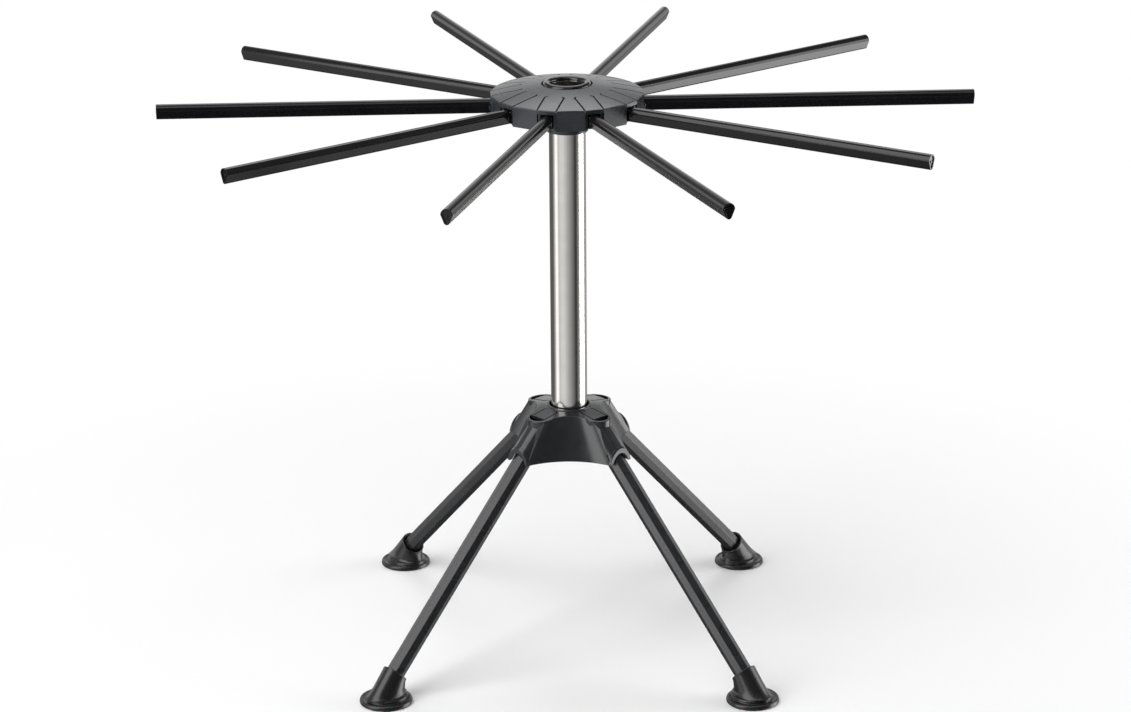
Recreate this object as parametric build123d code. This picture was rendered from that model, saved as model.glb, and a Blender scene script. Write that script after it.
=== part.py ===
from build123d import *
from math import asin, atan, cos, degrees, radians, sin, sqrt, tan
import os

# Folding drying rack for fresh pasta: ten arms hinge on a round hub at the top of a steel
# tube, and four legs hinge under a bell shaped housing at its foot. Millimetres, +Z up.
# The origin lies on the table, under the axis of the tube.

# Clearances and allowances
running_gap = 0.3           # between a moving piece and what it passes
pin_play = 0.05             # radial play of an arm or leg on its hinge pin
seat_gap = 0.02             # radial gap of a piece pressed or screwed into its seat
joint_gap = 0.15            # between fixed pieces that meet side by side
stop_gap = 0.1              # between a leg and the rib that stops it
overrun = 1.0               # how far a cut runs past the face that it opens

# Steel tube
tube_diameter = 19.0
tube_wall = 1.0
tube_length = 193.0
tube_foot_bore = 0.25       # the bore is this much wider in radius where the insert sits

# Arms
arm_count = 10
arm_reach = 210.0           # from the axis of the tube to the tip
arm_height = 7.8
arm_width = 6.0             # at the round top
arm_keel_width = 3.0        # at the round bottom
arm_tip_rim = 0.7
arm_tip_recess = 0.5
arm_tip_nub_radius = 0.7
arm_tip_nub_height = 0.3
arm_eye_round = 0.8
arm_pin_diameter = 2.4
hub_turn = 3.3              # degrees from the square of the legs to the first arm

# Hub
hub_radius = 39.6           # at the corners of its twenty sided rim
hub_wall = 2.0
hub_skirt = 1.8
hub_crown_rise = 4.8        # from the rim up to the edge of the middle hole
hub_crown_bulge = 0.5
hub_rim_round = 0.5         # between the top and the sides
hub_drop = 10.2             # from the top of the tube down to the arms
pivot_inset = 3.1           # from the rim to the hinge pins
strip_width = 10.0          # the flat strip over each arm
strip_start = 24.0          # radius at its inner end
strip_hook = 1.6            # the short turn of each groove at the inner end
groove_width = 0.8
groove_depth = 0.7
arm_side_gap = 0.4
ear_wall = 1.3
ear_nose = 0.9              # beyond the hinge pin, towards the rim
hub_floor = 2.0
hub_collar_wall = 1.3
hub_collar_drop = 9.8       # below the floor of the hub
hub_core_wall = 1.75

# Ring round the mouth of the tube
ring_grip = 1.6             # how far it reaches down over the tube
ring_lip = 2.0              # above the end of the tube
ring_wall = 3.8
ring_step = 0.2             # from the bore of the tube out to the bore of the ring
ring_groove = 0.75          # open groove between the ring and the hub
ring_round_share = 0.47     # of the ring's wall

# Screws of the hub and of the leg housing
screw_radius = 1.25
screw_head_radius = 2.4
screw_head_height = 1.8
screw_length = 8.0          # under the head
screw_boss_wall = 1.6
screw_cross_width = 0.6
screw_cross_depth = 0.8
screw_cross_share = 0.6     # of the head's radius
hub_screw_count = 5
tube_screw_radius = 2.0
tube_screw_head_radius = 4.0
tube_screw_head_height = 1.5
tube_screw_length = 11.0
plug_length = 14.0          # of the insert in the lower end of the tube
plug_gap = 0.5              # from the insert up to the end of its wider seat

# Legs
leg_count = 4
leg_splay = 45.0            # degrees from upright, when open
leg_length = 165.9          # along the leg, from its hinge to the table
leg_pivot_radius = 23.0
leg_flats = 9.0             # across the flats of the eight sided bar
leg_sides = 8
leg_edge_round = 0.35
leg_root_width = 6.8        # of the flattened root that turns between two ears
leg_root_length = 7.5       # from the hinge to where the full bar begins
leg_end_inset = 8.0         # from the table up to the end of the bar, along the leg
leg_pin_diameter = 3.0

# Feet
foot_diameter = 27.3
foot_inset = 7.0            # from where the leg meets the table, in to the middle of the foot
foot_edge = 2.4
foot_edge_round = 1.1
foot_step_height = 1.4      # of the oval step round the sleeve
foot_step_long = 20.4
foot_step_wide = 18.8
foot_step_shift = 2.0       # from the middle of the pad, towards the tube
foot_apron_inset = 0.5      # of the upright wall under the sleeve, inside the sleeve's rim
foot_sleeve_inset = 2.4     # from the edge of the pad in to the sleeve
foot_sleeve_diameter = 13.4
foot_sleeve_length = 19.5   # along the leg, from the table up to the rim of the sleeve
foot_rim_round = 0.8

# Leg housing
deck_rise = 8.7             # from the leg hinges up to the tips of the deck
deck_crown = 2.6            # from there up to the collar, as the deck is slightly conical
deck_wall = 1.6
deck_round = 0.4            # along the edge of the deck
housing_wall = 1.6
housing_height = 20.5
lobe_radius = 7.4
lobe_place = 20.7           # from the axis to the middle of each lobe
lobe_shoulder = 3.8         # from there out to where the hollow sides meet the lobe
lobe_rim = 1.4
waist_top = 17.4            # from the axis to the middle of each side, at the deck's tips
waist_foot = 25.5           # the same at the bottom edge
sleeve_radius = 7.4         # of the round roof over each leg
sleeve_wall = 1.3
mouth_radius = 38.3         # from the axis to the upright mouth of each sleeve
bead_height = 0.5
bead_width = 1.2
collar_gap = 1.1            # open ring between the tube and the collar of the deck
collar_wall = 1.4
collar_rise = 0.4
tongue_width = 9.0          # the flat tongue from the collar to each lobe
tongue_start = 13.6         # radius at its inner end
window_start = 22.6         # radius where the half moon window of each lobe begins
stop_rib_width = 5.0
stop_rib_length = 4.0
stop_rib_place = 8.0        # along the leg, from the hinge to the rib

# Frame inside the leg housing
frame_floor = 3.0
frame_lift = 0.5            # its floor lies this far inside the housing
frame_socket_wall = 2.0
frame_ear_wall = 1.2
frame_ear_radius = 3.3
frame_lug_place = 16.5      # from the axis to each screw
frame_lug_floor = 2.0       # over the head of each screw

# Heights and radii worked out from the sizes above
tube_r = tube_diameter / 2
tube_bore_r = tube_r - tube_wall
plug_seat_r = tube_bore_r + tube_foot_bore
leg_lean = sin(radians(leg_splay))
leg_drop = cos(radians(leg_splay))
leg_pivot_z = leg_length * leg_drop
leg_floor_radius = leg_pivot_radius + leg_length * leg_lean
deck_z = leg_pivot_z + deck_rise
housing_foot_z = deck_z - housing_height
frame_z = housing_foot_z + frame_lift
tube_foot_z = frame_z + frame_floor
tube_top_z = tube_foot_z + tube_length
arm_z = tube_top_z - hub_drop
arm_half = arm_height / 2
pivot_r = hub_radius - pivot_inset
lip_z = arm_z + arm_half + running_gap
rim_z = lip_z + hub_wall
hub_foot_z = arm_z - arm_half - running_gap
hub_base_z = arm_z - arm_half
hub_plate_z = hub_base_z + hub_floor
crown_z = rim_z + hub_crown_rise
ring_seat_z = tube_top_z - ring_grip
ring_bore_r = tube_bore_r + ring_step
ring_r = ring_bore_r + ring_wall
hub_hole_r = ring_r + ring_groove
hub_core_r = hub_hole_r + hub_core_wall
ear_inside = arm_width / 2 + arm_side_gap
ear_outside = ear_inside + ear_wall
slot_back_r = pivot_r - arm_half - running_gap
strip_half = strip_width / 2
strip_turn = degrees(asin(strip_half / hub_radius))
hub_slope = degrees(atan(hub_crown_rise / (hub_radius - hub_hole_r)))
screw_hole_r = screw_radius + seat_gap
screw_boss_r = screw_hole_r + screw_boss_wall
screw_well_r = screw_head_radius + running_gap
screw_well_depth = screw_head_height + joint_gap
screw_tower_r = screw_well_r + screw_boss_wall
hub_screw_circle = (hub_core_r + slot_back_r) / 2
hub_screw_z = hub_base_z + screw_well_depth
hub_boss_z = hub_screw_z + hub_floor
frame_screw_z = frame_z + screw_well_depth
frame_boss_z = frame_screw_z + frame_lug_floor
tube_screw_z = frame_z + tube_screw_head_height + joint_gap
bar_corner_r = leg_flats / 2 / cos(radians(180 / leg_sides))
frame_ear_inside = leg_root_width / 2 + running_gap
frame_ear_outside = frame_ear_inside + frame_ear_wall
frame_floor_r = leg_pivot_radius - bar_corner_r - 2 * running_gap
socket_r = tube_r + seat_gap + frame_socket_wall
deck_foot_z = deck_z - deck_wall
deck_top_z = deck_z + deck_crown
lobe_tip_r = lobe_place + lobe_radius
collar_bore_r = tube_r + collar_gap
collar_r = collar_bore_r + collar_wall
deck_slope = degrees(atan(deck_crown / (lobe_tip_r - collar_bore_r)))
foot_r = foot_diameter / 2
foot_place = leg_floor_radius - foot_inset
foot_sleeve_r = foot_sleeve_diameter / 2


def disc(radius, low, high, x=0, y=0):
    """An upright cylinder between two heights."""
    return Pos(x, y, low) * extrude(Circle(radius), high - low)


def pipe(outer, inner, low, high):
    """An upright tube on the main axis."""
    return disc(outer, low, high) - disc(inner, low - overrun, high + overrun)


def cross_bar(radius, half_width, x, z):
    """A cylinder that lies across the local X axis, such as a hinge pin or an eye."""
    start = Plane((x, half_width, z), x_dir=(1, 0, 0), z_dir=(0, -1, 0))
    return extrude(start * Circle(radius), 2 * half_width)


def side_plate(points, low_y, high_y):
    """A plate cut to an outline of (x, z) points, between two places across it."""
    start = Plane((0, high_y, 0), x_dir=(1, 0, 0), z_dir=(0, -1, 0))
    return extrude(start * make_face(Polyline(*points, close=True)), high_y - low_y)


def block(low_x, high_x, low_y, high_y, low_z, high_z):
    """A block between two corners."""
    size = (high_x - low_x, high_y - low_y, high_z - low_z)
    middle = ((low_x + high_x) / 2, (low_y + high_y) / 2, (low_z + high_z) / 2)
    return Pos(*middle) * Box(*size)


def place_at(angle, radius, side=0):
    """The (x, y) place at a radius along a direction, and to one side of it."""
    turn = radians(angle)
    return (radius * cos(turn) - side * sin(turn), radius * sin(turn) + side * cos(turn))


def arm_angle(index):
    """The direction of one arm, in degrees."""
    return hub_turn + index * 360 / arm_count


def leg_angle(index):
    """The direction of one leg, in degrees: midway between the sides of the housing."""
    return (index + 0.5) * 360 / leg_count


def side_angle(index):
    """The direction of one hollow side of the housing, in degrees."""
    return index * 360 / leg_count


def leg_plane(distance):
    """A plane square to an open leg, at a distance along it from the hinge."""
    x = leg_pivot_radius + distance * leg_lean
    z = leg_pivot_z - distance * leg_drop
    return Plane((x, 0, z), x_dir=(leg_drop, 0, leg_lean), z_dir=(leg_lean, 0, -leg_drop))


def leg_axis_z(radius):
    """The height of an open leg's middle line at a radius."""
    return leg_pivot_z - (radius - leg_pivot_radius) * leg_drop / leg_lean


def save(shape, name):
    """Write one sub-part, with its separate solids side by side."""
    solids = shape.solids()
    piece = solids[0] if len(solids) == 1 else Compound(children=list(solids))
    piece.label = name
    export_step(piece, "parts/" + name + ".step")


# Screws

def screw(radius, length, head_radius, head_height, x, y, seat_z):
    """A screw that points up, with a rounded head and a cross recess."""
    head = disc(head_radius, seat_z - head_height, seat_z, x, y)
    head = fillet(head.edges().group_by(Axis.Z)[0], head_height / 3)
    shank = disc(radius, seat_z, seat_z + length, x, y)
    shank = chamfer(shank.edges().group_by(Axis.Z)[-1], radius / 3)
    low = seat_z - head_height - overrun
    high = seat_z - head_height + screw_cross_depth
    reach = head_radius * screw_cross_share
    half = screw_cross_width / 2
    cross = block(-reach, reach, -half, half, low, high)
    cross = cross + block(-half, half, -reach, reach, low, high)
    return head + shank - Pos(x, y, 0) * cross


def small_screws(places, seat_z):
    """The set of equal small screws of one joint."""
    return Compound(children=[
        screw(screw_radius, screw_length, screw_head_radius, screw_head_height, *place, seat_z)
        for place in places
    ])


def hub_screw_places():
    """Where the hub's screws stand, midway between arms."""
    step = 360 / hub_screw_count
    first = arm_angle(0) + 180 / arm_count
    return [place_at(first + index * step, hub_screw_circle) for index in range(hub_screw_count)]


def frame_screw_places():
    """Where the leg housing's screws stand, at the middle of each hollow side."""
    return [place_at(side_angle(index), frame_lug_place) for index in range(leg_count)]


# Arms

def drop_section(inset):
    """The arm's section: a half round top, a ridge each side, and flat sides down to a keel."""
    top_r = arm_width / 2 - inset
    keel_r = arm_keel_width / 2 - inset
    top_z = arm_half - arm_width / 2
    keel_z = arm_keel_width / 2 - arm_half
    height = top_z - keel_z
    lean = atan(top_r / height) - asin(keel_r / sqrt(top_r ** 2 + height ** 2))
    top_side = (top_r, top_z)
    keel_side = (keel_r * cos(lean), keel_z - keel_r * sin(lean))
    top_left = (-top_side[0], top_side[1])
    keel_left = (-keel_side[0], keel_side[1])
    return make_face([
        Line(keel_side, top_side),
        ThreePointArc(top_side, (0, top_z + top_r), top_left),
        Line(top_left, keel_left),
        ThreePointArc(keel_left, (0, keel_z - keel_r), keel_side),
    ])


def arm_plane(x):
    """A plane square to an arm that lies along the local X axis."""
    return Plane((x, 0, arm_z), x_dir=(0, 1, 0), z_dir=(1, 0, 0))


def arm():
    """One arm along the local X axis, with the eye that turns on its hinge pin."""
    bar = extrude(arm_plane(pivot_r) * drop_section(0), arm_reach - pivot_r)
    tip_floor = arm_reach - arm_tip_recess
    recess = extrude(arm_plane(tip_floor) * drop_section(arm_tip_rim), arm_tip_recess + overrun)
    nub_start = tip_floor - arm_tip_rim
    nub_length = arm_tip_rim + arm_tip_nub_height
    nub = extrude(arm_plane(nub_start) * Circle(arm_tip_nub_radius), nub_length)
    eye = cross_bar(arm_half, arm_width / 2, pivot_r, arm_z)
    eye = fillet(eye.edges().filter_by(GeomType.CIRCLE), arm_eye_round)
    bore = cross_bar(arm_pin_diameter / 2 + pin_play, arm_width, pivot_r, arm_z)
    return bar - recess + nub + eye - bore


def arm_pin():
    """The hinge pin of one arm, flush with the outside of its two ears."""
    return cross_bar(arm_pin_diameter / 2, ear_outside, pivot_r, arm_z)


# Hub

def rim_outline(inset):
    """The hub's rim: a short straight side over each arm and a longer one between."""
    radius = hub_radius - inset / cos(radians(180 / arm_count - strip_turn))
    corners = []
    for index in range(arm_count):
        for turn in (-strip_turn, strip_turn):
            corners.append(place_at(arm_angle(index) + turn, radius))
    return make_face(Polyline(*corners, close=True))


def crown_form(drop):
    """The slightly domed form of the hub's top, lowered by the given amount."""
    low = hub_foot_z - overrun
    edge_r = hub_radius + overrun
    edge_z = rim_z - overrun * tan(radians(hub_slope)) - drop
    hole_z = crown_z - drop
    middle = ((edge_r + hub_hole_r) / 2, (edge_z + hole_z) / 2 + hub_crown_bulge)
    outline = make_face([
        Line((0, low), (edge_r, low)),
        Line((edge_r, low), (edge_r, edge_z)),
        ThreePointArc((edge_r, edge_z), middle, (hub_hole_r, hole_z)),
        Line((hub_hole_r, hole_z), (0, hole_z)),
        Line((0, hole_z), (0, low)),
    ])
    return revolve(Plane.XZ * outline, Axis.Z)


def panel_grooves(half_width, start, end, top_z, slope):
    """The two grooves that bound a straight panel, each with a short turn at its inner end."""
    half = groove_width / 2
    high = groove_depth + 2 * overrun
    run = block(0, end - start, -half, half, -groove_depth, high)
    hook = block(-strip_hook, half, -half, half, -groove_depth, high)
    grooves = []
    for side in (1, -1):
        line = run + Rot(0, 0, side * 45) * hook
        grooves.append(Pos(start, side * half_width, top_z) * Rot(0, slope, 0) * line)
    return grooves[0] + grooves[1]


def on_rim(edge):
    """Whether an edge of the hub's body runs round its rim, between top and sides."""
    middle = edge.center()
    return middle.Z > lip_z and sqrt(middle.X ** 2 + middle.Y ** 2) > hub_radius - hub_wall


def hub_cover():
    """The domed cover, with its skirt between the arms and a boss for each screw."""
    height = crown_z + hub_crown_bulge - hub_foot_z + overrun
    below = hub_foot_z - overrun
    body = Pos(0, 0, hub_foot_z) * extrude(rim_outline(0), height) & crown_form(0)
    body = fillet([edge for edge in body.edges() if on_rim(edge)], hub_rim_round)
    hollow = Pos(0, 0, below) * extrude(rim_outline(hub_skirt), height) & crown_form(hub_wall)
    hollow = hollow - disc(hub_core_r, hub_plate_z, crown_z)
    for place in hub_screw_places():
        hollow = hollow - disc(screw_boss_r, hub_boss_z, crown_z, *place)
    cover = body - hollow - disc(hub_hole_r, below, crown_z + overrun)
    cover = cover - disc(hub_core_r + overrun, below, hub_plate_z)
    for place in hub_screw_places():
        cover = cover - disc(screw_hole_r, hub_boss_z - overrun,
                             hub_screw_z + screw_length + joint_gap, *place)
    gate = block(slot_back_r, hub_radius + overrun, -strip_half, strip_half, below, lip_z)
    top_z = rim_z + (hub_radius - strip_start) * tan(radians(hub_slope)) + hub_crown_bulge / 2
    cuts = gate + panel_grooves(strip_half, strip_start, hub_radius + overrun, top_z, hub_slope)
    for index in range(arm_count):
        cover = cover - Rot(0, 0, arm_angle(index)) * cuts
    return cover


def hub_base():
    """The lower half of the hub: floor, collar round the tube and a pair of ears per arm."""
    base = Pos(0, 0, hub_base_z) * extrude(rim_outline(hub_skirt + joint_gap), hub_floor)
    base = base + disc(ring_r, hub_base_z, ring_seat_z)
    base = base + disc(tube_r + hub_collar_wall, hub_base_z - hub_collar_drop, hub_plate_z)
    ear_end = pivot_r + arm_pin_diameter / 2 + ear_nose
    ear_top_z = lip_z - joint_gap
    ears = block(slot_back_r - ear_wall, ear_end, -ear_outside, ear_outside,
                 hub_base_z, ear_top_z)
    slot = block(slot_back_r, hub_radius + overrun, -ear_inside, ear_inside,
                 hub_base_z - overrun, lip_z + overrun)
    slot = slot + cross_bar(arm_pin_diameter / 2 + seat_gap, strip_half, pivot_r, arm_z)
    for index in range(arm_count):
        base = base + Rot(0, 0, arm_angle(index)) * ears
        base = base - Rot(0, 0, arm_angle(index)) * slot
    for place in hub_screw_places():
        base = base + disc(screw_tower_r, hub_base_z, hub_boss_z, *place)
        base = base - disc(screw_well_r, hub_base_z - overrun, hub_screw_z, *place)
        base = base - disc(screw_radius + joint_gap, hub_base_z, hub_boss_z + overrun, *place)
    return base - disc(tube_r + seat_gap, hub_base_z - hub_collar_drop - overrun,
                       ring_seat_z + overrun)


def centre_ring():
    """The rounded ring that caps the end of the tube and fills the hub's middle hole."""
    ring = pipe(ring_r, ring_bore_r, ring_seat_z, tube_top_z + ring_lip)
    ring = fillet(ring.edges().group_by(Axis.Z)[-1], ring_wall * ring_round_share)
    return ring - disc(tube_r + seat_gap, ring_seat_z - overrun, tube_top_z + seat_gap)


# Tube

def tube():
    """The steel tube, open at the top and bored a little wider for the insert at its foot."""
    seat_top_z = tube_foot_z + plug_length + plug_gap
    seat = disc(plug_seat_r, tube_foot_z - overrun, seat_top_z)
    return pipe(tube_r, tube_bore_r, tube_foot_z, tube_top_z) - seat


def tube_plug():
    """The insert in the lower end of the tube, which takes the long screw."""
    plug = disc(plug_seat_r - seat_gap, tube_foot_z, tube_foot_z + plug_length)
    screw_end = tube_screw_z + tube_screw_length
    return plug - disc(tube_screw_radius + seat_gap, tube_foot_z - overrun, screw_end + joint_gap)


def tube_screw():
    """The screw that holds the tube down on the frame."""
    return screw(tube_screw_radius, tube_screw_length, tube_screw_head_radius,
                 tube_screw_head_height, 0, 0, tube_screw_z)


# Leg housing and its frame

def side_outline(z, inset):
    """The housing's outline at a height: hollow sides with a straight chord at each lobe."""
    share = (deck_z - z) / housing_height
    shoulder_r = lobe_place + lobe_shoulder
    shoulder = sqrt(lobe_radius ** 2 - lobe_shoulder ** 2)
    middle = waist_top + share * (waist_foot - waist_top) - inset
    corner_r = shoulder_r + share * (mouth_radius - shoulder_r) - inset
    corner = shoulder + share * (sleeve_radius - shoulder) - inset
    edges = []
    for index in range(leg_count):
        start = (*place_at(leg_angle(index - 1), corner_r, corner), z)
        waist = (*place_at(side_angle(index), middle), z)
        end = (*place_at(leg_angle(index), corner_r, -corner), z)
        after = (*place_at(leg_angle(index), corner_r, corner), z)
        edges.append(ThreePointArc(start, waist, end))
        edges.append(Line(end, after))
    return make_face(edges)


def deck_form(drop):
    """The slightly conical form under which the deck lies, lowered by the given amount."""
    low = housing_foot_z - 2 * overrun
    edge_r = mouth_radius + 2 * overrun
    edge_z = deck_z - (edge_r - lobe_tip_r) * tan(radians(deck_slope)) - drop
    top_z = deck_top_z - drop
    outline = make_face(Polyline((0, low), (edge_r, low), (edge_r, edge_z),
                                 (collar_bore_r, top_z), (0, top_z), close=True))
    return revolve(Plane.XZ * outline, Axis.Z)


def sleeve_form(radius, low, high, mouth):
    """The round roof over one leg, with its upright sides, along the local X axis."""
    reach = mouth / leg_lean
    roof = extrude(leg_plane(-lobe_radius) * Circle(radius), reach)
    under = leg_axis_z(mouth) - housing_height
    walls = side_plate([(lobe_place, under), (mouth, under), (mouth, leg_axis_z(mouth)),
                        (lobe_place, leg_axis_z(lobe_place))], -radius, radius)
    return (roof + walls) & block(0, mouth, -radius, radius, low, high)


def housing_form(wall, arch_wall, low, high, mouth):
    """The bell shape with its lobes and sleeves, drawn in by the given walls."""
    form = loft([side_outline(low, wall), side_outline(high, wall)], ruled=True)
    lobe = disc(lobe_radius - wall, leg_axis_z(lobe_place), high, lobe_place, 0)
    arch = lobe + sleeve_form(sleeve_radius - arch_wall, low, high, mouth)
    for index in range(leg_count):
        form = form + Rot(0, 0, leg_angle(index)) * arch
    return form


def leg_housing():
    """The bell shaped shell that hides the hinges of the legs."""
    body = housing_form(0, 0, housing_foot_z, deck_top_z, mouth_radius) & deck_form(0)
    deck = body.faces().filter_by(GeomType.CONE).sort_by(SortBy.AREA)[-1]
    body = fillet(deck.edges().filter_by(GeomType.BSPLINE), deck_round)
    bead = sleeve_form(sleeve_radius + bead_height, housing_foot_z, deck_z, mouth_radius)
    bead = bead & block(mouth_radius - bead_width, mouth_radius, -lobe_place, lobe_place,
                        housing_foot_z, deck_z)
    for index in range(leg_count):
        body = body + Rot(0, 0, leg_angle(index)) * bead
    below = housing_foot_z - overrun
    hollow = housing_form(housing_wall, sleeve_wall, below, deck_top_z, mouth_radius + overrun)
    hollow = hollow & deck_form(deck_wall)
    rib_low = bar_corner_r + stop_gap
    rib = Pos((rib_low + sleeve_radius) / 2, 0) * Rectangle(sleeve_radius - rib_low, stop_rib_width)
    rib = extrude(leg_plane(stop_rib_place) * rib, stop_rib_length)
    for index in range(leg_count):
        hollow = hollow - Rot(0, 0, leg_angle(index)) * rib
    for place in frame_screw_places():
        hollow = hollow - disc(screw_boss_r, frame_boss_z, deck_top_z, *place)
    shell = body - hollow
    collar = disc(collar_r, deck_foot_z, deck_top_z + collar_rise)
    collar = fillet(collar.edges().group_by(Axis.Z)[-1], collar_wall / 3)
    shell = shell + collar - disc(collar_bore_r, deck_foot_z - overrun,
                                  deck_top_z + collar_rise + overrun)
    window = disc(lobe_radius - lobe_rim, deck_foot_z - overrun, deck_top_z, lobe_place, 0)
    window = window & block(window_start, mouth_radius, -lobe_radius, lobe_radius,
                            deck_foot_z - overrun, deck_top_z)
    tongue_z = deck_z + (lobe_tip_r - tongue_start) * tan(radians(deck_slope))
    window = window + panel_grooves(tongue_width / 2, tongue_start, window_start, tongue_z,
                                    deck_slope)
    for index in range(leg_count):
        shell = shell - Rot(0, 0, leg_angle(index)) * window
    for place in frame_screw_places():
        shell = shell - disc(screw_hole_r, frame_boss_z - overrun,
                             frame_screw_z + screw_length + joint_gap, *place)
    return shell


def leg_frame():
    """The frame inside the housing: floor, socket for the tube and four pairs of ears."""
    socket_z = deck_foot_z - joint_gap
    frame = disc(frame_floor_r, frame_z, tube_foot_z) + disc(socket_r, frame_z, socket_z)
    for place in frame_screw_places():
        frame = frame + disc(screw_tower_r, frame_z, frame_boss_z, *place)
    ear_outline = [
        (tube_r, frame_z),
        (frame_floor_r, frame_z),
        (frame_floor_r, leg_pivot_z - bar_corner_r),
        (leg_pivot_radius, leg_pivot_z - frame_ear_radius),
        (leg_pivot_radius, leg_pivot_z + frame_ear_radius),
        (tube_r, leg_pivot_z + frame_ear_radius),
    ]
    ears = side_plate(ear_outline, -frame_ear_outside, frame_ear_outside)
    ears = ears + cross_bar(frame_ear_radius, frame_ear_outside, leg_pivot_radius, leg_pivot_z)
    between = block(socket_r, leg_pivot_radius + lobe_radius, -frame_ear_inside,
                    frame_ear_inside, tube_foot_z, deck_z)
    bore = cross_bar(leg_pin_diameter / 2 + seat_gap, lobe_radius, leg_pivot_radius, leg_pivot_z)
    ears = ears - between - bore
    for index in range(leg_count):
        frame = frame + Rot(0, 0, leg_angle(index)) * ears
    for place in frame_screw_places():
        frame = frame - disc(screw_well_r, frame_z - overrun, frame_screw_z, *place)
        frame = frame - disc(screw_radius + joint_gap, frame_z, frame_boss_z + overrun, *place)
    frame = frame - disc(tube_r + seat_gap, tube_foot_z, socket_z + overrun)
    frame = frame - disc(tube_screw_head_radius + running_gap, frame_z - overrun, tube_screw_z)
    return frame - disc(tube_screw_radius + joint_gap, frame_z, tube_foot_z + overrun)


def leg_pin():
    """The hinge pin of one leg, flush with the outside of its two ears."""
    return cross_bar(leg_pin_diameter / 2, frame_ear_outside, leg_pivot_radius, leg_pivot_z)


# Legs and feet

def leg_bar(low, high, gap=0):
    """A length of a leg's many sided bar, with one of its edges on top."""
    return extrude(leg_plane(low) * RegularPolygon(bar_corner_r + gap, leg_sides), high - low)


def leg():
    """One open leg along the local X axis, with its flattened root and its eye."""
    half_root = leg_root_width / 2
    bar = leg_bar(leg_root_length, leg_length - leg_end_inset)
    along = Axis((0, 0, 0), (leg_lean, 0, -leg_drop))
    bar = fillet(bar.edges().filter_by(along), leg_edge_round)
    cheeks = block(0, leg_floor_radius, -half_root, half_root, 0, deck_z)
    root = leg_bar(0, leg_root_length) & cheeks
    eye = cross_bar(leg_flats / 2, half_root, leg_pivot_radius, leg_pivot_z)
    bore = cross_bar(leg_pin_diameter / 2 + pin_play, leg_root_width, leg_pivot_radius, leg_pivot_z)
    return bar + root + eye - bore


def foot():
    """One rubber foot: a round pad, an oval step and the slanted sleeve for the leg."""
    pad = disc(foot_r, 0, foot_edge, foot_place, 0)
    pad = fillet(pad.edges().filter_by(GeomType.CIRCLE), foot_edge_round)
    rim = leg_length - foot_sleeve_length
    sleeve = extrude(leg_plane(rim) * Circle(foot_sleeve_r), foot_sleeve_length + foot_diameter)
    sleeve = fillet(sleeve.edges().group_by(Axis.Z)[-1], foot_rim_round)
    sleeve = sleeve & disc(foot_r - foot_sleeve_inset, foot_edge / 2, deck_z, foot_place, 0)
    step_z = foot_edge / 2
    step_height = foot_edge + foot_step_height - step_z
    step = Ellipse(foot_step_long / 2, foot_step_wide / 2)
    step = Pos(foot_place - foot_step_shift, 0, step_z) * extrude(step, step_height)
    step = fillet(step.edges().group_by(Axis.Z)[-1], foot_step_height / 2)
    apron_r = foot_sleeve_r - foot_apron_inset
    apron_x = leg_pivot_radius + rim * leg_lean
    apron = Ellipse(apron_r * leg_drop, apron_r)
    apron = Pos(apron_x, 0, step_z) * extrude(apron, leg_pivot_z - rim * leg_drop + foot_sleeve_r)
    under = leg_plane(rim + foot_rim_round) * Rectangle(foot_diameter, foot_diameter)
    apron = apron & extrude(under, foot_diameter)
    socket = leg_bar(rim - overrun, leg_length - leg_end_inset + seat_gap, seat_gap)
    return pad + step + sleeve + apron - socket


def main():
    """Build each sub-part and write it."""
    os.makedirs("parts", exist_ok=True)
    save(hub_cover(), "hub_cover")
    save(hub_base(), "hub_base")
    save(centre_ring(), "centre_ring")
    save(small_screws(hub_screw_places(), hub_screw_z), "hub_screws")
    one_arm = arm()
    one_pin = arm_pin()
    save(Compound(children=[Rot(0, 0, arm_angle(i)) * one_pin for i in range(arm_count)]), "arm_pins")
    for index in range(arm_count):
        save(Rot(0, 0, arm_angle(index)) * one_arm, f"arm_{index + 1:02d}")
    save(tube(), "tube")
    save(tube_plug(), "tube_plug")
    save(tube_screw(), "tube_screw")
    save(leg_housing(), "leg_housing")
    save(leg_frame(), "leg_frame")
    save(small_screws(frame_screw_places(), frame_screw_z), "housing_screws")
    one_pin = leg_pin()
    save(Compound(children=[Rot(0, 0, leg_angle(i)) * one_pin for i in range(leg_count)]), "leg_pins")
    one_leg = leg()
    one_foot = foot()
    for index in range(leg_count):
        save(Rot(0, 0, leg_angle(index)) * one_leg, f"leg_{index + 1}")
        save(Rot(0, 0, leg_angle(index)) * one_foot, f"foot_{index + 1}")


main()
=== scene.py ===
import logging
import math
from dataclasses import dataclass, field
from enum import Enum
from typing import Sequence

import bpy
from mathutils import Matrix, Vector


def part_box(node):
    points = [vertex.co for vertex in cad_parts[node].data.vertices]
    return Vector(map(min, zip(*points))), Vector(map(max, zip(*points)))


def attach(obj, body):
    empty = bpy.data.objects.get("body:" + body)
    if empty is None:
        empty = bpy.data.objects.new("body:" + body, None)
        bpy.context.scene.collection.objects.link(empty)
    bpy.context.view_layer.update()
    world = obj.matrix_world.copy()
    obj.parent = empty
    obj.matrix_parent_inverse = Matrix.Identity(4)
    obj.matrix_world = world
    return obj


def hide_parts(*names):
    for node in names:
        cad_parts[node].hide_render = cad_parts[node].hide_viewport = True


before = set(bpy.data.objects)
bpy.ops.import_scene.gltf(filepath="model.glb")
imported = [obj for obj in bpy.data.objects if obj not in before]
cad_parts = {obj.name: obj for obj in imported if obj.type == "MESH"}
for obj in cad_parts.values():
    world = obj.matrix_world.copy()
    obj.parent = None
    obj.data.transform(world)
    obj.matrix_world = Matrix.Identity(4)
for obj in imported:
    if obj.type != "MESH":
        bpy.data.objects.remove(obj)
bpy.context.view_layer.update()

log = logging.getLogger("drying_rack")

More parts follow.
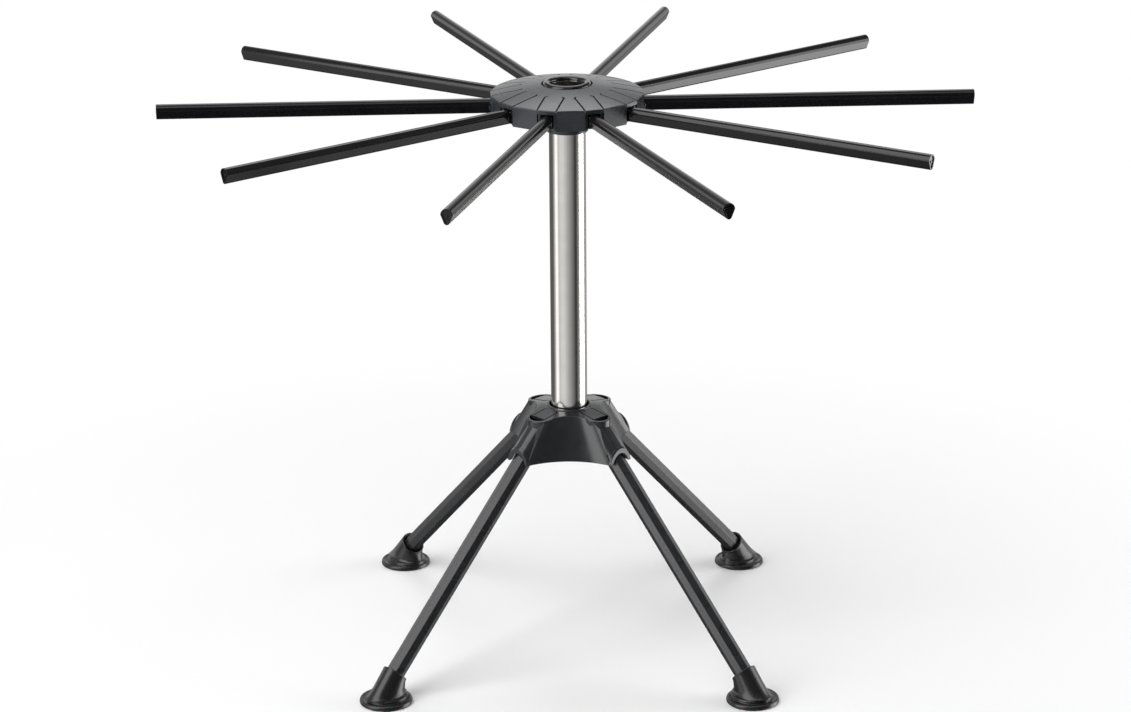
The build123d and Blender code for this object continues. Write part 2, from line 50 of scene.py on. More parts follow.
MM = 0.001
BEVEL_SAMPLES = 6
WHITE = (1.0, 1.0, 1.0, 1.0)

Triple = tuple[float, float, float]
Colour = Triple
Span = tuple[float, float]
Profile = tuple[tuple[float, float], ...]
Ring = list[Vector]
Socket = bpy.types.NodeSocket


class Material(Enum):
    """The finishes that the rack's pieces are given."""

    HUB = "hub_satin_charcoal"
    HOUSING = "housing_satin_charcoal"
    LEG = "leg_satin_charcoal"
    ARM = "arm_polished_black"
    RING = "ring_polished_black"
    FOOT = "foot_rubber"
    TUBE = "tube_drawn_steel"
    INNER = "inner_moulded_black"
    SCREW = "screw_plated_steel"
    PIN = "pin_ground_steel"


class Sum(Enum):
    """The sums that a node tree works out."""

    TIMES = "MULTIPLY"
    LARGER = "MAXIMUM"
    TURN = "ARCTAN2"


def scaled(colour: Colour, factor: float) -> Colour:
    """A colour made lighter or darker.

    Args:
        colour: The colour.
        factor: What each of its channels is multiplied by.

    Returns:
        The new colour.
    """
    return tuple(channel * factor for channel in colour)


class NodeBench:
    """An emptied node tree, with short ways to add its nodes and join them."""

    def __init__(self, tree: bpy.types.NodeTree) -> None:
        """Empty the tree.

        Args:
            tree: The node tree of a material or a world.
        """
        self.tree = tree
        self.tree.nodes.clear()

    def add(self, kind: str) -> bpy.types.Node:
        """A new node of a kind."""
        return self.tree.nodes.new(kind)

    def join(self, source: Socket, target: Socket) -> None:
        """Join an output socket to an input socket."""
        self.tree.links.new(source, target)

    def spread(self, value: Socket, old: Span, new: Span = (0.0, 1.0), smooth: bool = False) -> Socket:
        """Map a value from one range to another.

        Args:
            value: The value to map.
            old: The ends of its range.
            new: The ends of the new range.
            smooth: Whether the value starts and ends slowly.

        Returns:
            The mapped value.
        """
        node = self.add("ShaderNodeMapRange")
        node.interpolation_type = "SMOOTHSTEP" if smooth else "LINEAR"
        for name, number in zip(("From Min", "From Max", "To Min", "To Max"), (*old, *new)):
            node.inputs[name].default_value = number
        self.join(value, node.inputs["Value"])
        return node.outputs["Result"]

    def sum(self, kind: Sum, one: Socket, two: Socket) -> Socket:
        """Work out a sum of two values.

        Args:
            kind: Which sum.
            one: The first value.
            two: The second value.

        Returns:
            What it comes to.
        """
        node = self.add("ShaderNodeMath")
        node.operation = kind.value
        self.join(one, node.inputs[0])
        self.join(two, node.inputs[1])
        return node.outputs["Value"]

    def covered(self, share: Socket, under: Socket, over: Socket) -> Socket:
        """One shader laid over another.

        Args:
            share: How much of the upper one shows, from 0 to 1.
            under: The lower one.
            over: The upper one.

        Returns:
            Both together.
        """
        node = self.add("ShaderNodeMixShader")
        self.join(share, node.inputs["Fac"])
        self.join(under, node.inputs[1])
        self.join(over, node.inputs[2])
        return node.outputs["Shader"]


@dataclass(frozen=True)
class Clouds:
    """A cloudy pattern: the width of one cloud in metres, its finer layers and their strength."""

    size: float
    detail: float
    rough: float


class FinishBench(NodeBench):
    """A new material with its main shader, and the patterns that finishes are made of."""

    def __init__(self, name: str) -> None:
        """Start a material that holds only its output and its main shader.

        Args:
            name: The material's name.
        """
        self.material = bpy.data.materials.new(name)
        self.material.use_nodes = True
        super().__init__(self.material.node_tree)
        self.output = self.add("ShaderNodeOutputMaterial")
        self.shader = self.add("ShaderNodeBsdfPrincipled")
        self.join(self.shader.outputs["BSDF"], self.output.inputs["Surface"])
        self.place = self.add("ShaderNodeTexCoord").outputs["Object"]

    def stretched(self, stretch: Sequence[float]) -> Socket:
        """The surface place, stretched along each axis.

        Args:
            stretch: The factor along X, Y and Z.

        Returns:
            The stretched place.
        """
        mapping = self.add("ShaderNodeMapping")
        mapping.inputs["Scale"].default_value = stretch
        self.join(self.place, mapping.inputs["Vector"])
        return mapping.outputs["Vector"]

    def clouds(self, pattern: Clouds, place: Socket | None = None) -> Socket:
        """A cloudy pattern.

        Args:
            pattern: Its sizes.
            place: The coordinates to use, if not the surface place.

        Returns:
            The pattern's value, about 0.5.
        """
        node = self.add("ShaderNodeTexNoise")
        node.inputs["Scale"].default_value = 1.0 / pattern.size
        node.inputs["Detail"].default_value = pattern.detail
        node.inputs["Roughness"].default_value = pattern.rough
        self.join(place or self.place, node.inputs["Vector"])
        return node.outputs["Fac"]

    def pits(self, size: float) -> Socket:
        """Cells like the pits of a spark eroded mould.

        Args:
            size: The width of one cell in metres.

        Returns:
            The distance to the nearest cell centre.
        """
        node = self.add("ShaderNodeTexVoronoi")
        node.inputs["Scale"].default_value = 1.0 / size
        self.join(self.place, node.inputs["Vector"])
        return node.outputs["Distance"]

    def tint(self, value: Socket, span: Span, dark: Colour, light: Colour, most: float = 1.0) -> None:
        """Colour the surface between two colours, by a pattern.

        Args:
            value: The pattern.
            span: The pattern's values between which the colour changes.
            dark: The colour below the span.
            light: The colour towards which it changes.
            most: How far it gets to the light colour above the span, from 0 to 1.
        """
        node = self.add("ShaderNodeMix")
        node.data_type = "RGBA"
        node.inputs[6].default_value = (*dark, 1.0)
        node.inputs[7].default_value = (*light, 1.0)
        self.join(self.spread(value, span, (0.0, most)), node.inputs[0])
        self.join(node.outputs[2], self.shader.inputs["Base Color"])

    def shine(self, value: Socket, span: Span, roughness: float, change: Span) -> None:
        """Vary the surface's roughness, by a pattern.

        Args:
            value: The pattern.
            span: The pattern's values between which the roughness changes.
            roughness: The roughness about which it changes.
            change: What is added to it below the span and above it.
        """
        new = (roughness + change[0], roughness + change[1])
        self.join(self.spread(value, span, new), self.shader.inputs["Roughness"])

    def relief(self, layers: Sequence[tuple[Socket, float]], edge: float) -> None:
        """Give the shader a fine relief, over softly broken edges.

        Args:
            layers: Height patterns, each with its depth in metres.
            edge: The radius of the broken edges in metres.
        """
        bevel = self.add("ShaderNodeBevel")
        bevel.samples = BEVEL_SAMPLES
        bevel.inputs["Radius"].default_value = edge
        normal = bevel.outputs["Normal"]
        for height, depth in layers:
            bump = self.add("ShaderNodeBump")
            bump.inputs["Distance"].default_value = depth
            bump.inputs["Strength"].default_value = 1.0
            self.join(height, bump.inputs["Height"])
            self.join(normal, bump.inputs["Normal"])
            normal = bump.outputs["Normal"]
        self.join(normal, self.shader.inputs["Normal"])


@dataclass(frozen=True)
class MouldedPlastic:
    """Moulded plastic: a colour with faint clouds, and the fine grain of its mould."""

    name: str
    colour: Colour
    roughness: float
    grain_depth: float = 0.006 * MM
    edge: float = 0.35 * MM
    cloudiness: Clouds = Clouds(14 * MM, 4.0, 0.6)
    grain: Clouds = Clouds(0.35 * MM, 3.0, 0.6)
    pit_share: float = 1.7
    lift: float = 1.35
    tint_span: Span = (0.3, 0.7)
    shine_span: Span = (0.25, 0.75)
    shine_change: Span = (-0.04, 0.05)

    def make(self) -> bpy.types.Material:
        """Build the material."""
        bench = FinishBench(self.name)
        clouds = bench.clouds(self.cloudiness)
        grain = bench.clouds(self.grain)
        pits = bench.pits(self.grain.size * self.pit_share)
        bench.tint(clouds, self.tint_span, self.colour, scaled(self.colour, self.lift))
        bench.shine(clouds, self.shine_span, self.roughness, self.shine_change)
        bench.relief([(grain, self.grain_depth), (pits, self.grain_depth)], self.edge)
        return bench.material


@dataclass(frozen=True)
class PolishedPlastic:
    """Glossy moulded plastic: long soft sink waves, faint flow lines and fine hairline marks."""

    name: str
    colour: Colour
    roughness: float
    specular: float = 0.5
    waves: Clouds = Clouds(16 * MM, 2.0, 0.4)
    marks: Clouds = Clouds(0.25 * MM, 2.0, 0.7)
    wave_depth: float = 0.008 * MM
    mark_share: float = 0.02
    edge: float = 0.2 * MM
    lift: float = 1.6
    tint_span: Span = (0.35, 0.65)
    shine_span: Span = (0.45, 0.75)
    shine_change: Span = (0.0, 0.04)

    def make(self) -> bpy.types.Material:
        """Build the material."""
        bench = FinishBench(self.name)
        waves = bench.clouds(self.waves)
        marks = bench.clouds(self.marks)
        bench.tint(waves, self.tint_span, self.colour, scaled(self.colour, self.lift))
        bench.shine(marks, self.shine_span, self.roughness, self.shine_change)
        bench.shader.inputs["Specular IOR Level"].default_value = self.specular
        bench.relief([(waves, self.wave_depth), (marks, self.wave_depth * self.mark_share)], self.edge)
        return bench.material


@dataclass(frozen=True)
class DrawnSteel:
    """Bright steel tube, drawn along its length and polished round."""

    name: str
    colour: Colour
    roughness: float
    lines: Clouds = Clouds(0.12 * MM, 3.0, 0.6)
    line_stretch: Triple = (1.0, 1.0, 0.01)
    line_depth: float = 0.0008 * MM
    cloudiness: Clouds = Clouds(9 * MM, 3.0, 0.5)
    edge: float = 0.15 * MM
    drop: float = 0.93
    tint_span: Span = (0.3, 0.7)
    shine_span: Span = (0.3, 0.7)
    shine_change: Span = (-0.02, 0.05)

    def make(self) -> bpy.types.Material:
        """Build the material."""
        bench = FinishBench(self.name)
        lines = bench.clouds(self.lines, bench.stretched(self.line_stretch))
        clouds = bench.clouds(self.cloudiness)
        bench.tint(clouds, self.tint_span, scaled(self.colour, self.drop), self.colour)
        bench.shine(lines, self.shine_span, self.roughness, self.shine_change)
        bench.shader.inputs["Metallic"].default_value = 1.0
        bench.relief([(lines, self.line_depth)], self.edge)
        return bench.material


@dataclass(frozen=True)
class PlatedSteel:
    """Zinc plated or ground steel of small parts, a little uneven in tone."""

    name: str
    colour: Colour
    roughness: float
    patches: Clouds = Clouds(0.8 * MM, 4.0, 0.6)
    patch_depth: float = 0.003 * MM
    edge: float = 0.1 * MM
    drop: float = 0.75
    tint_span: Span = (0.3, 0.7)
    shine_span: Span = (0.3, 0.7)
    shine_change: Span = (0.0, 0.12)

    def make(self) -> bpy.types.Material:
        """Build the material."""
        bench = FinishBench(self.name)
        patches = bench.clouds(self.patches)
        bench.tint(patches, self.tint_span, scaled(self.colour, self.drop), self.colour)
        bench.shine(patches, self.shine_span, self.roughness, self.shine_change)
        bench.shader.inputs["Metallic"].default_value = 1.0
        bench.relief([(patches, self.patch_depth)], self.edge)
        return bench.material


@dataclass(frozen=True)
class SoftRubber:
    """Black rubber with a low shine, a fine skin and a trace of dust."""

    name: str
    colour: Colour
    dusty: Colour
    roughness: float
    skin: Clouds = Clouds(0.3 * MM, 3.0, 0.6)
    skin_depth: float = 0.0015 * MM
    dust: Clouds = Clouds(2.2 * MM, 5.0, 0.7)
    dust_most: float = 0.5
    edge: float = 0.6 * MM
    tint_span: Span = (0.55, 0.85)
    shine_span: Span = (0.35, 0.75)
    shine_change: Span = (0.0, 0.05)

    def make(self) -> bpy.types.Material:
        """Build the material."""
        bench = FinishBench(self.name)
        skin = bench.clouds(self.skin)
        dust = bench.clouds(self.dust)
        bench.tint(dust, self.tint_span, self.colour, self.dusty, self.dust_most)
        bench.shine(dust, self.shine_span, self.roughness, self.shine_change)
        bench.relief([(skin, self.skin_depth)], self.edge)
        return bench.material


Finish = MouldedPlastic | PolishedPlastic | DrawnSteel | PlatedSteel | SoftRubber

FINISHES: dict[Material, Finish] = {
    Material.HUB: MouldedPlastic(Material.HUB.value, (0.019, 0.021, 0.026), 0.27),
    Material.HOUSING: MouldedPlastic(
        Material.HOUSING.value, (0.019, 0.020, 0.022), 0.18, grain_depth=0.0012 * MM),
    Material.LEG: MouldedPlastic(
        Material.LEG.value, (0.015, 0.0155, 0.017), 0.27, grain_depth=0.004 * MM, edge=0.3 * MM),
    Material.ARM: PolishedPlastic(Material.ARM.value, (0.004, 0.004, 0.005), 0.13, specular=0.36),
    Material.RING: PolishedPlastic(Material.RING.value, (0.004, 0.004, 0.005), 0.06),
    Material.FOOT: SoftRubber(Material.FOOT.value, (0.012, 0.012, 0.013), (0.018, 0.018, 0.019), 0.24),
    Material.TUBE: DrawnSteel(Material.TUBE.value, (0.80, 0.78, 0.75), 0.13),
    Material.INNER: MouldedPlastic(Material.INNER.value, (0.012, 0.012, 0.013), 0.45),
    Material.SCREW: PlatedSteel(Material.SCREW.value, (0.60, 0.60, 0.61), 0.28),
    Material.PIN: PlatedSteel(Material.PIN.value, (0.66, 0.66, 0.66), 0.18),
}


@dataclass
class Bench:
    """Makes each finish once and gives it to the pieces that ask for it."""

    made: dict[Material, bpy.types.Material] = field(default_factory=dict)

    def finish(self, kind: Material) -> bpy.types.Material:
        """The material of a finish, made at its first use.

        Args:
            kind: Which finish.

        Returns:
            The material.
        """
        if kind not in self.made:
            self.made[kind] = FINISHES[kind].make()
        return self.made[kind]

    def dress(self, node: str, kind: Material) -> None:
        """Give a solid of the frame its finish.

        Args:
            node: The solid's name.
            kind: Which finish.
        """
        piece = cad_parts[node]
        piece.data.materials.clear()
        piece.data.materials.append(self.finish(kind))
        log.info("%s dressed in %s", node, kind.value)


@dataclass
class Hub:
    """The hub at the top: domed cover, floor with its ears, ring, screws and pins."""

    bench: Bench

    def build(self) -> None:
        """Dress each piece of the hub."""
        self.bench.dress("hub_cover", Material.HUB)
        self.bench.dress("hub_base", Material.HUB)
        self.bench.dress("centre_ring", Material.RING)
        self.bench.dress("hub_screws", Material.SCREW)
        self.bench.dress("arm_pins", Material.PIN)


@dataclass
class ArmSet:
    """The arms that fold down from the hub."""

    bench: Bench
    count: int = 10

    def build(self) -> None:
        """Dress each arm."""
        for index in range(self.count):
            self.bench.dress(f"arm_{index + 1:02d}", Material.ARM)


@dataclass
class Column:
    """The steel tube with its insert and screw."""

    bench: Bench

    def build(self) -> None:
        """Dress the tube and what it holds."""
        self.bench.dress("tube", Material.TUBE)
        self.bench.dress("tube_plug", Material.INNER)
        self.bench.dress("tube_screw", Material.SCREW)


@dataclass
class LegHousing:
    """The bell shaped housing with its inner frame, screws and pins."""

    bench: Bench

    def build(self) -> None:
        """Dress the shell and what it holds."""
        self.bench.dress("leg_housing", Material.HOUSING)
        self.bench.dress("leg_frame", Material.INNER)
        self.bench.dress("housing_screws", Material.SCREW)
        self.bench.dress("leg_pins", Material.PIN)


@dataclass
class RubberFoot:
    """One moulded foot: rolled pad, oval step, and a sleeve that flows from the step to the leg.

    Sizes are in millimetres, for a foot on a leg that leans out along X. Each profile is a run of
    rings, as pairs of a distance past the part's own edge and a height, or for the sleeve's rim a
    depth along the leg and a distance past its side.
    """

    bench: Bench
    pivot_radius: float = 23.0
    leg_length: float = 165.9
    lean: float = 45.0
    pad_radius: float = 13.65
    pad_inset: float = 7.0
    pad_height: float = 2.4
    pad_profile: Profile = (
        (-13.0, 0.0), (-6.0, 0.0), (-0.55, 0.0), (-0.18, 0.12), (-0.02, 0.45), (0.0, 0.9), (-0.03, 1.35),
        (-0.22, 1.9), (-0.6, 2.28), (-1.05, 2.4), (-1.45, 2.32), (-1.8, 2.12), (-2.1, 2.02))
    step_half: Span = (11.3, 9.9)
    step_shift: float = 1.1
    step_height: float = 1.35
    step_sink: float = 0.35
    step_profile: Profile = (
        (0.1, 0.0), (0.0, 0.3), (0.0, 0.75), (-0.1, 1.15), (-0.4, 1.5), (-0.85, 1.66), (-1.2, 1.68))
    skirt_half: Span = (10.9, 7.3)
    skirt_shift: float = 0.3
    skirt_flare: float = 1.1
    flare_power: int = 9
    sleeve_length: float = 19.5
    sleeve_radius: float = 6.7
    sleeve_top: Span = (0.9, -0.08)
    sleeve_shares: tuple[float, ...] = (0.0, 0.03, 0.07, 0.13, 0.22, 0.34, 0.48, 0.62, 0.76, 0.88, 1.0)
    rim_profile: Profile = (
        (0.55, 0.0), (0.25, -0.05), (0.06, -0.22), (0.0, -0.5), (0.03, -0.85), (0.25, -1.2), (0.7, -1.45))
    mouth_radius: float = 5.15
    mouth_depth: float = 2.0
    mouth_end: Span = (0.2, -0.3)
    corners: int = 64
    slot: str = "foot_rubber"

    @property
    def middle(self) -> float:
        """How far the pad's middle is from the rack's axis."""
        return self.pivot_radius + self.leg_length * math.sin(math.radians(self.lean)) - self.pad_inset

    def turns(self) -> list[float]:
        """The angles of a ring's corners."""
        return [2 * math.pi * index / self.corners for index in range(self.corners)]

    def oval(self, middle: float, half: Span, height: float) -> Ring:
        """A level oval ring.

        Args:
            middle: How far its middle is from the rack's axis.
            half: Half of its length and of its width.
            height: Its height over the floor.

        Returns:
            The ring's points.
        """
        return [Vector((middle + half[0] * math.cos(turn), half[1] * math.sin(turn), height))
                for turn in self.turns()]

    def collar(self, along: float, radius: float) -> Ring:
        """A round ring square to the leg.

        Args:
            along: How far it is from the hinge, along the leg.
            radius: Its radius.

        Returns:
            The ring's points.
        """
        lean = math.radians(self.lean)
        out, down = math.sin(lean), math.cos(lean)
        centre = Vector((self.pivot_radius + along * out, 0.0, (self.leg_length - along) * down))
        return [centre + Vector((radius * math.cos(turn) * down, radius * math.sin(turn),
                                 radius * math.cos(turn) * out)) for turn in self.turns()]

    def pad(self) -> list[Ring]:
        """The rings of the pad, from the middle of its underside up to the foot of the step."""
        return [self.oval(self.middle, (self.pad_radius + side, self.pad_radius + side), height)
                for side, height in self.pad_profile]

    def step(self) -> list[Ring]:
        """The rings of the oval step, from its foot to its top."""
        middle = self.middle - self.step_shift
        low = self.pad_height - self.step_sink
        return [self.oval(middle, (self.step_half[0] + side, self.step_half[1] + side), low + height)
                for side, height in self.step_profile]

    def skirt(self) -> list[Ring]:
        """The rings from the sleeve's flared foot on the step up to the rim."""
        middle = self.middle - self.skirt_shift
        height = self.pad_height + self.step_height
        centre = Vector((middle, 0.0, height))
        foot = self.oval(middle, self.skirt_half, height)
        top = self.collar(self.leg_length - self.sleeve_length + self.sleeve_top[0],
                          self.sleeve_radius + self.sleeve_top[1])
        rings = []
        for share in self.sleeve_shares:
            flare = self.skirt_flare * (1.0 - share) ** self.flare_power
            ring = []
            for low, high in zip(foot, top):
                away = low - centre
                away.z = 0.0
                ring.append(low.lerp(high, share) + away.normalized() * flare)
            rings.append(ring)
        return rings

    def rim(self) -> list[Ring]:
        """The rings of the sleeve's rounded rim, and down into its mouth."""
        start = self.leg_length - self.sleeve_length
        lip = self.mouth_radius - self.sleeve_radius
        mouth = ((self.mouth_depth, lip), (self.mouth_depth + self.mouth_end[0], lip + self.mouth_end[1]))
        return [self.collar(start + along, self.sleeve_radius + side)
                for along, side in (*self.rim_profile, *mouth)]

    def shape(self, name: str) -> bpy.types.Mesh:
        """The foot's closed mesh, of rings joined from its underside to its mouth.

        Args:
            name: The mesh's name.

        Returns:
            The mesh, in metres.
        """
        rings = self.pad() + self.step() + self.skirt() + self.rim()
        count = self.corners
        faces = [tuple(reversed(range(count)))]
        for ring in range(len(rings) - 1):
            start = ring * count
            for side in range(count):
                after = (side + 1) % count
                faces.append((start + side, start + after, start + count + after, start + count + side))
        faces.append(tuple(range((len(rings) - 1) * count, len(rings) * count)))
        mesh = bpy.data.meshes.new(name)
        mesh.from_pydata([point * MM for ring in rings for point in ring], [], faces)
        for face in mesh.polygons:
            face.use_smooth = True
        return mesh

    def build(self, index: int) -> None:
        """Make one foot, put it on its leg and dress it.

        Args:
            index: Which leg, from 1.
        """
        name, node = f"rubber_foot_{index}", f"foot_{index}"
        mesh = self.shape(name)
        mesh.materials.append(self.bench.finish(Material.FOOT))
        low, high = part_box(node)
        turn = math.atan2((low[1] + high[1]) / 2, (low[0] + high[0]) / 2)
        mesh.transform(Matrix.Rotation(turn, 4, "Z"))
        foot = bpy.data.objects.new(name, mesh)
        bpy.context.scene.collection.objects.link(foot)
        smooth = foot.modifiers.new("smooth", "SUBSURF")
        smooth.levels = 1
        smooth.render_levels = 1
        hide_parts(node)
        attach(foot, f"leg_{index}")
        log.info("%s replaces %s", name, node)


@dataclass
class LegSet:
    """The folding legs with their rubber feet."""

    bench: Bench
    count: int = 4

    def build(self) -> None:
        """Dress each leg and make its foot."""
        for index in range(self.count):
            self.bench.dress(f"leg_{index + 1}", Material.LEG)
            RubberFoot(self.bench).build(index + 1)


@dataclass(frozen=True)
class SoftBox:
    """A studio lamp: a plain rectangle of light, some way round the rack and aimed at its axis.

    The azimuth is in degrees, the sizes in metres and the power in watts.
    """

    name: str
    azimuth: float
    height: float
    distance: float
    width: float
    tall: float
    power: float
    aim: float = 0.16

    def build(self) -> None:
        """Place the lamp round the rack and aim it."""
        lamp = bpy.data.lights.new(self.name, "AREA")
        lamp.shape = "RECTANGLE"
        lamp.size = self.width
        lamp.size_y = self.tall
        lamp.energy = self.power
        holder = bpy.data.objects.new(self.name, lamp)
        turn = math.radians(self.azimuth)
        holder.location = (self.distance * math.cos(turn), self.distance * math.sin(turn), self.height)
        way = Vector((0.0, 0.0, self.aim)) - holder.location
        holder.rotation_euler = way.to_track_quat("-Z", "Y").to_euler()
        bpy.context.scene.collection.objects.link(holder)


SOFT_BOXES: tuple[SoftBox, ...] = (
    SoftBox("box_left", azimuth=214.0, height=0.92, distance=1.15, width=1.0, tall=2.0, power=20.0),
    SoftBox("box_right", azimuth=7.5, height=-0.05, distance=1.2, width=0.82, tall=1.7, power=17.5,
            aim=-0.05),
    SoftBox("box_back", azimuth=92.0, height=1.90, distance=1.5, width=1.1, tall=0.9, power=9.0, aim=0.3),
    SoftBox("box_top", azimuth=270.0, height=1.9, distance=0.5, width=1.1, tall=1.0, power=4.5),
)


@dataclass(frozen=True)
class Band:
    """The studio's brightness by direction, above a soft line at some height.

    The line runs from the angle start to the angle end, in degrees above the horizon. The levels
    are pairs of a direction in degrees, -180 to 180, and a brightness.
    """

    start: float
    end: float
    levels: Profile

    def line(self) -> Span:
        """The ends of the soft line, as the upward share of a ray's direction."""
        return math.sin(math.radians(self.start)), math.sin(math.radians(self.end))


BANDS: tuple[Band, ...] = (
    Band(-90.0, -89.0, (
        (-180.0, 0.12), (-150.0, 0.08), (-90.0, 0.05), (-30.0, 0.10), (0.0, 0.30), (30.0, 0.30),
        (60.0, 0.10), (150.0, 0.10), (180.0, 0.12))),
    Band(-56.0, -48.0, (
        (-180.0, 0.70), (-160.0, 0.80), (-140.0, 0.25), (-90.0, 0.05), (-44.0, 0.10), (-32.0, 2.6),
        (-12.0, 2.6), (0.0, 0.8), (30.0, 0.6), (60.0, 0.12), (150.0, 0.10), (180.0, 0.70))),
    Band(-42.0, -28.0, (
        (-180.0, 0.60), (-174.0, 1.35), (-162.0, 1.35), (-149.0, 0.62), (-137.0, 0.80),
        (-118.0, 0.80), (-100.0, 0.60), (-89.0, 0.46), (-66.0, 0.27), (-54.0, 0.15),
        (-42.0, 0.04), (-33.0, 0.08), (-24.0, 0.30), (35.0, 0.45), (63.0, 0.35), (119.0, 0.12),
        (160.0, 0.12), (180.0, 0.60))),
    Band(-12.0, 3.0, (
        (-180.0, 0.60), (-150.0, 0.40), (-124.0, 0.22), (-110.0, 0.10), (-89.0, 0.06),
        (-49.0, 0.03), (-30.0, 0.04), (-15.0, 0.35), (20.0, 0.80), (35.0, 1.2), (60.0, 1.6),
        (150.0, 1.8), (180.0, 0.60))),
    Band(9.0, 19.0, (
        (-180.0, 0.50), (-150.0, 0.40), (-124.0, 0.22), (-110.0, 0.10), (-89.0, 0.06),
        (-49.0, 0.03), (-30.0, 0.04), (-15.0, 0.30), (20.0, 0.30), (45.0, 0.16), (68.0, 0.16),
        (82.0, 0.55), (100.0, 0.60), (116.0, 0.30), (150.0, 0.35), (180.0, 0.50))),
)


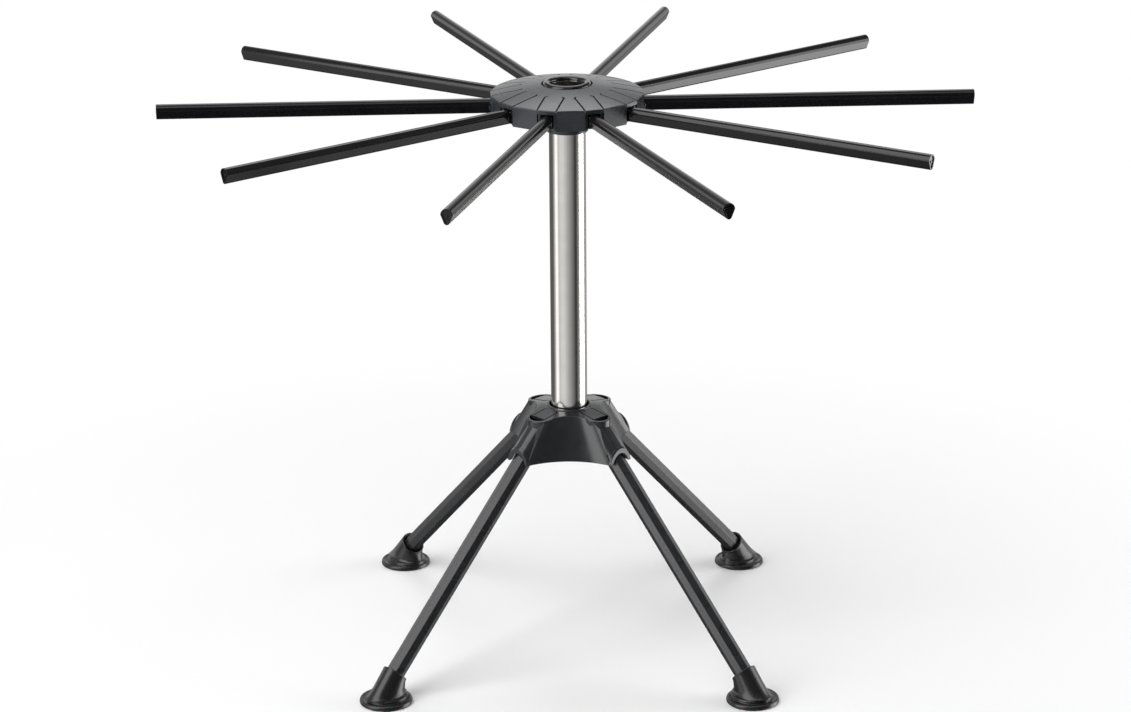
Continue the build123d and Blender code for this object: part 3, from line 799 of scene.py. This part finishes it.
@dataclass
class Studio:
    """The camera, the surroundings, a pale floor and the soft boxes.

    Lengths are in metres and angles in degrees, the lens is in millimetres, and the backdrop's
    spans are shares of a ray's direction, backward and upward.
    """

    eye: Triple = (0.01923, -1.7189, 0.7408)
    pitch: float = 18.81
    yaw: float = 0.7
    roll: float = -0.428
    lens: float = 109.91
    sensor: float = 36.0
    clip_start: float = 0.05
    floor_colour: Colour = (0.93, 0.93, 0.93)
    floor_roughness: float = 0.9
    floor_specular: float = 0.1
    floor_size: float = 6.0
    floor_drop: float = 0.05 * MM
    floor_fade: Span = (0.13, 0.46)
    backdrop_side: Span = (0.45, 0.75)
    backdrop_foot: Span = (-0.20, 0.0)
    backdrop_top: Span = (0.33, 0.16)
    bands: tuple[Band, ...] = BANDS
    lamps: tuple[SoftBox, ...] = SOFT_BOXES

    def camera(self) -> None:
        """Set the camera at the height, tilt and lens of the view asked for."""
        data = bpy.data.cameras.new("camera")
        data.lens = self.lens
        data.sensor_width = self.sensor
        data.sensor_fit = "HORIZONTAL"
        data.clip_start = self.clip_start
        holder = bpy.data.objects.new("camera", data)
        aim = Matrix.Rotation(math.radians(self.yaw), 4, "Z")
        aim = aim @ Matrix.Rotation(math.radians(90.0 - self.pitch), 4, "X")
        aim = aim @ Matrix.Rotation(math.radians(self.roll), 4, "Z")
        holder.matrix_world = Matrix.Translation(self.eye) @ aim
        bpy.context.scene.collection.objects.link(holder)
        bpy.context.scene.camera = holder

    def around(self, bench: NodeBench, turn: Socket, levels: Profile) -> Socket:
        """The brightness of the studio round the rack, by direction.

        Args:
            bench: The world's nodes.
            turn: The direction as a share of a full turn, from the left side on.
            levels: Pairs of a direction in degrees, -180 to 180, and a brightness.

        Returns:
            The brightness in that direction.
        """
        ramp = bench.add("ShaderNodeValToRGB")
        ramp.color_ramp.interpolation = "EASE"
        stops = ramp.color_ramp.elements
        while len(stops) > 1:
            stops.remove(stops[-1])
        for index, (azimuth, level) in enumerate(levels):
            place = (azimuth + 180.0) / 360.0
            stop = stops[0] if index == 0 else stops.new(place)
            stop.position = place
            stop.color = (level, level, level, 1.0)
        bench.join(turn, ramp.inputs["Fac"])
        return ramp.outputs["Color"]

    def surroundings(self, bench: NodeBench, axes: bpy.types.Node) -> Socket:
        """The brightness of the studio, by direction and height.

        Args:
            bench: The world's nodes.
            axes: The node that holds the ray's direction along X, Y and Z.

        Returns:
            The brightness as a colour.
        """
        angle = bench.sum(Sum.TURN, axes.outputs["Y"], axes.outputs["X"])
        turn = bench.spread(angle, (-math.pi, math.pi))
        colour = self.around(bench, turn, self.bands[0].levels)
        for band in self.bands[1:]:
            blend = bench.add("ShaderNodeMix")
            blend.data_type = "RGBA"
            bench.join(bench.spread(axes.outputs["Z"], band.line(), smooth=True), blend.inputs[0])
            bench.join(colour, blend.inputs[6])
            bench.join(self.around(bench, turn, band.levels), blend.inputs[7])
            colour = blend.outputs[2]
        return colour

    def sees_backdrop(self, bench: NodeBench, axes: bpy.types.Node) -> Socket:
        """How much of the white backdrop a ray sees.

        Looked at directly or through something it is white all round. In a reflection it is white
        in its own place, behind the rack and from the floor up.

        Args:
            bench: The world's nodes.
            axes: The node that holds the ray's direction along X, Y and Z.

        Returns:
            The share, from 0 to 1.
        """
        rays = bench.add("ShaderNodeLightPath").outputs
        place = bench.spread(axes.outputs["Y"], self.backdrop_side, smooth=True)
        for span in (self.backdrop_foot, self.backdrop_top):
            place = bench.sum(Sum.TIMES, place, bench.spread(axes.outputs["Z"], span, smooth=True))
        seen = bench.sum(Sum.LARGER, rays["Is Camera Ray"], rays["Is Transmission Ray"])
        return bench.sum(Sum.LARGER, seen, bench.sum(Sum.TIMES, rays["Is Glossy Ray"], place))

    def world(self) -> None:
        """A studio that is pale behind and darker in front, with its white backdrop."""
        world = bpy.data.worlds.new("surround")
        world.use_nodes = True
        bpy.context.scene.world = world
        bench = NodeBench(world.node_tree)
        output = bench.add("ShaderNodeOutputWorld")
        axes = bench.add("ShaderNodeSeparateXYZ")
        bench.join(bench.add("ShaderNodeTexCoord").outputs["Generated"], axes.inputs["Vector"])
        soft = bench.add("ShaderNodeBackground")
        bench.join(self.surroundings(bench, axes), soft.inputs["Color"])
        white = bench.add("ShaderNodeBackground")
        white.inputs["Color"].default_value = WHITE
        both = bench.covered(self.sees_backdrop(bench, axes), soft.outputs["Background"],
                             white.outputs["Background"])
        bench.join(both, output.inputs["Surface"])

    def floor_finish(self) -> bpy.types.Material:
        """The floor's material: plain and pale, and white where it is looked at far from the rack.

        Returns:
            The material.
        """
        bench = FinishBench("floor_white")
        bench.shader.inputs["Base Color"].default_value = (*self.floor_colour, 1.0)
        bench.shader.inputs["Roughness"].default_value = self.floor_roughness
        bench.shader.inputs["Specular IOR Level"].default_value = self.floor_specular
        reach = bench.add("ShaderNodeVectorMath")
        reach.operation = "LENGTH"
        bench.join(bench.place, reach.inputs[0])
        far = bench.spread(reach.outputs["Value"], self.floor_fade)
        rays = bench.add("ShaderNodeLightPath").outputs
        looked = bench.sum(Sum.LARGER, rays["Is Camera Ray"], rays["Is Transmission Ray"])
        white = bench.add("ShaderNodeEmission")
        both = bench.covered(bench.sum(Sum.TIMES, far, looked), bench.shader.outputs["BSDF"],
                             white.outputs["Emission"])
        bench.join(both, bench.output.inputs["Surface"])
        return bench.material

    def floor(self) -> None:
        """A plain floor that keeps the rack's soft shadow, and that reflections don't show."""
        half = self.floor_size / 2
        mesh = bpy.data.meshes.new("floor")
        corners = [(-half, -half, 0.0), (half, -half, 0.0), (half, half, 0.0), (-half, half, 0.0)]
        mesh.from_pydata(corners, [], [(0, 1, 2, 3)])
        mesh.materials.append(self.floor_finish())
        floor = bpy.data.objects.new("floor", mesh)
        floor.location.z = -self.floor_drop
        bpy.context.scene.collection.objects.link(floor)
        floor.visible_glossy = False

    def build(self) -> None:
        """Set up the whole studio."""
        self.camera()
        self.world()
        self.floor()
        for lamp in self.lamps:
            lamp.build()
        bpy.context.scene.view_settings.view_transform = "Standard"


def main() -> None:
    """Build and dress each part of the rack, then the studio round it."""
    logging.basicConfig(level=logging.INFO, format="%(name)s: %(message)s")
    bench = Bench()
    for part in (Hub(bench), ArmSet(bench), Column(bench), LegHousing(bench), LegSet(bench)):
        part.build()
        log.info("%s done", type(part).__name__)
    Studio().build()
    log.info("Studio done")


if __name__ == "__main__":
    main()
